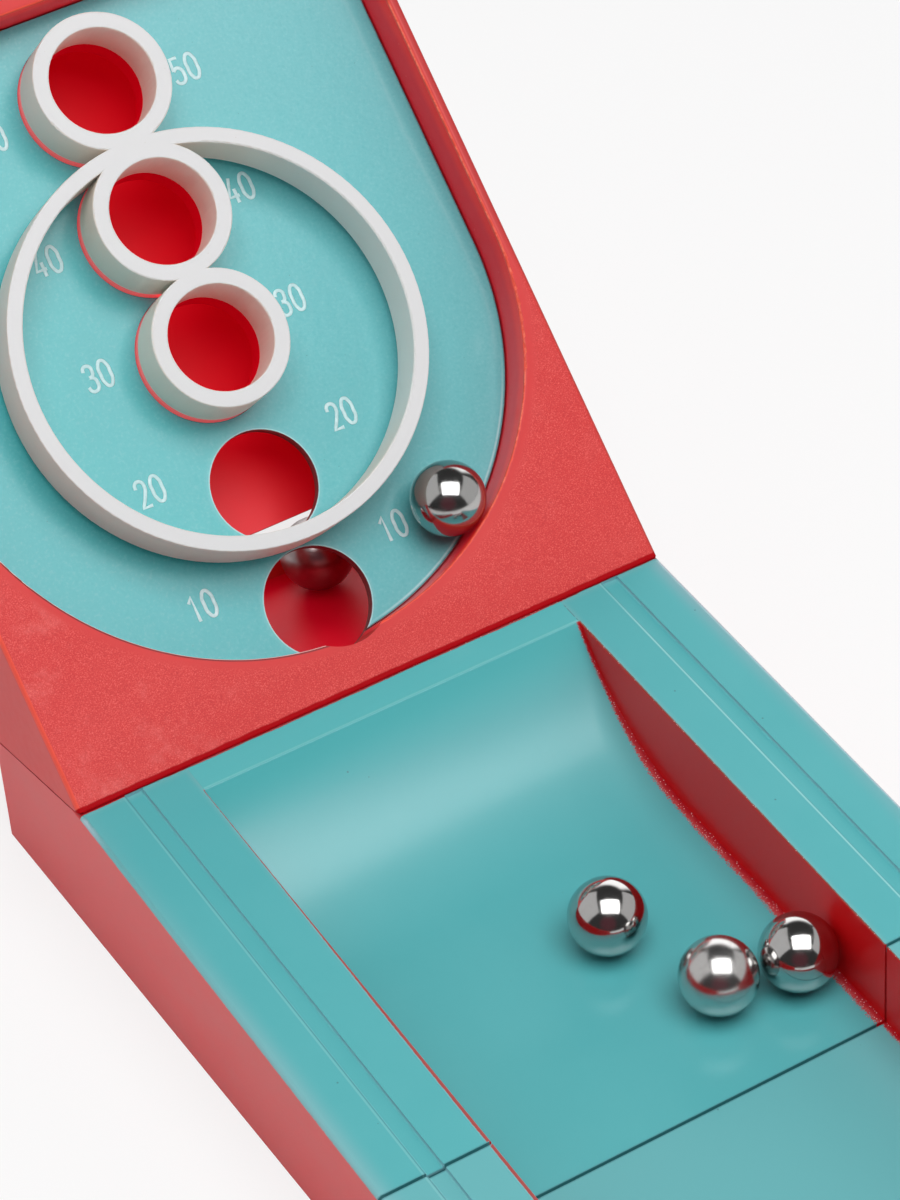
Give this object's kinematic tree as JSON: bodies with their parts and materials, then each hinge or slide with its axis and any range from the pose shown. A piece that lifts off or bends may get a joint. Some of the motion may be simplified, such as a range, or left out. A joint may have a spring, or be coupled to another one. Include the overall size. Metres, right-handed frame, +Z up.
{
  "type": "tabletop ball rolling game",
  "caption": "Small tabletop ball-rolling game: ramped lane in two sections, leaning target box with numbered score holes and raised rings, rear ball tray and steel balls.",
  "frame": {"origin": "on the table, below the middle of the game's outline", "axes": "+Z up; +Y along the lane, away from the player and towards the target; +X to the player's right"},
  "size_m": [0.103, 0.2394, 0.1086],
  "materials": {
    "red_plastic": "moulded, satin to glossy, with sprayed turquoise lane and rails",
    "turquoise_board": "glossy paint",
    "white_ring": "matte moulded",
    "ball_steel": "mirror polished",
    "screw_steel": "plain"
  },
  "bodies": {
    "base": {"rear_base": "red_plastic", "ball_tray": "red_plastic", "tray_screws": "screw_steel"},
    "front_section": {"front_base": "red_plastic"},
    "target": {"target_housing": "red_plastic", "housing_back": "red_plastic", "target_board": "turquoise_board", "score_rings": "white_ring", "back_screws": "screw_steel"},
    "lane_ball_1": {"ball_1": "ball_steel"},
    "lane_ball_2": {"ball_2": "ball_steel"},
    "lane_ball_3": {"ball_3": "ball_steel"},
    "target_ball": {"ball_4": "ball_steel"},
    "tray_ball": {"ball_5": "ball_steel"}
  },
  "joints": [
    {"name": "front_section_pull", "type": "slide", "parent": "base", "child": "front_section", "axis": [0, -1, 0], "range_m": [0, 0.03]},
    {"name": "target_lift", "type": "slide", "parent": "base", "child": "target", "axis": [0, 0, 1], "range_m": [0, 0.03]},
    {"name": "lane_ball_1_roll", "type": "slide", "parent": "base", "child": "lane_ball_1", "axis": [0, 0.9976, 0.0698], "range_m": [-0.008, 0.0153]},
    {"name": "lane_ball_2_roll", "type": "slide", "parent": "base", "child": "lane_ball_2", "axis": [0, 0.9976, 0.0698], "range_m": [-0.056, 0.008]},
    {"name": "lane_ball_3_roll", "type": "slide", "parent": "base", "child": "lane_ball_3", "axis": [0, 0.9976, 0.0698], "range_m": [-0.0535, 0.0364]},
    {"name": "target_ball_lift", "type": "slide", "parent": "target", "child": "target_ball", "axis": [0, -0.6921, 0.7218], "range_m": [0, 0.03]},
    {"name": "tray_ball_roll", "type": "slide", "parent": "base", "child": "tray_ball", "axis": [1, 0, 0], "range_m": [-0.0407, 0.0195]}
  ]
}
